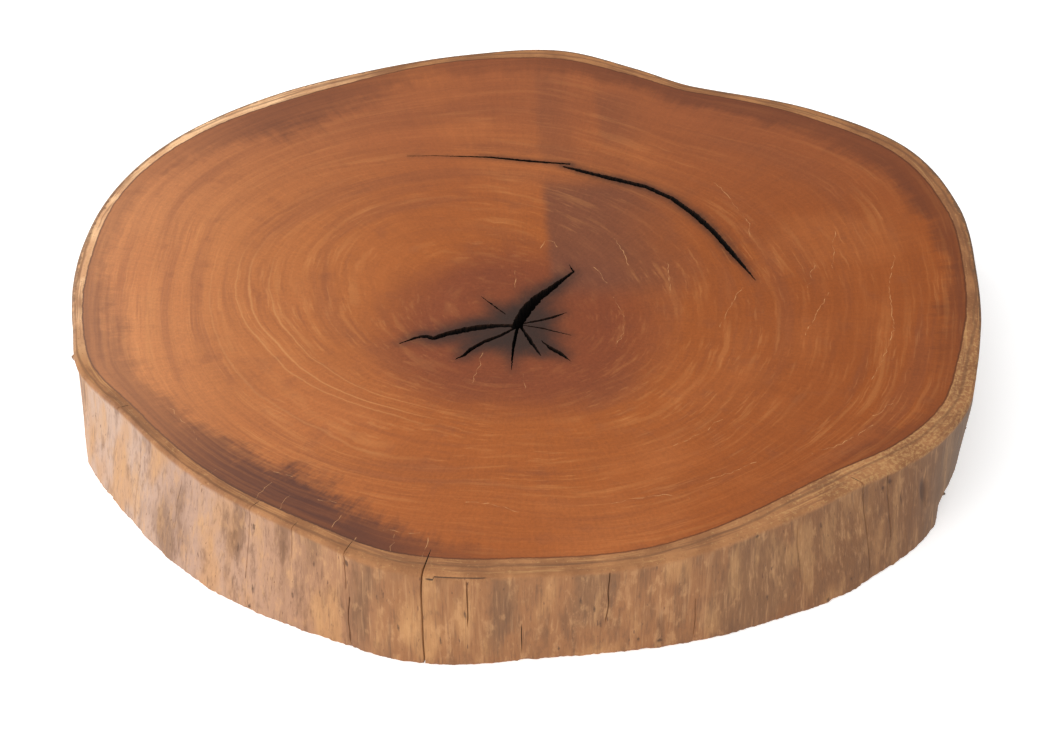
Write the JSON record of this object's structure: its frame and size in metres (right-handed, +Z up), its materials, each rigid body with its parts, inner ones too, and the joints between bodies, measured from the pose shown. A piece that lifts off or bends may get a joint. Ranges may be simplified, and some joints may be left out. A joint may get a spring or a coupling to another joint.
{
  "type": "wood slice",
  "caption": "Thick cross-cut slice of a peeled hardwood trunk, with a wavy outline, a star of heart checks at the pith and a curved ring shake in the flat polished face.",
  "frame": {"origin": "on the ground under the middle of the slice's bounding box", "axes": "+Z up through the thickness, out of the polished sawn face; -Y to the side nearest the camera; +X to its right"},
  "size_m": [0.9014, 0.8674, 0.108],
  "materials": {
    "wood": "oiled and polished on the upper face, bare peeled sapwood on the side, dark inside the cracks"
  },
  "bodies": {
    "root": {"wood_slice": "wood"}
  },
  "joints": []
}
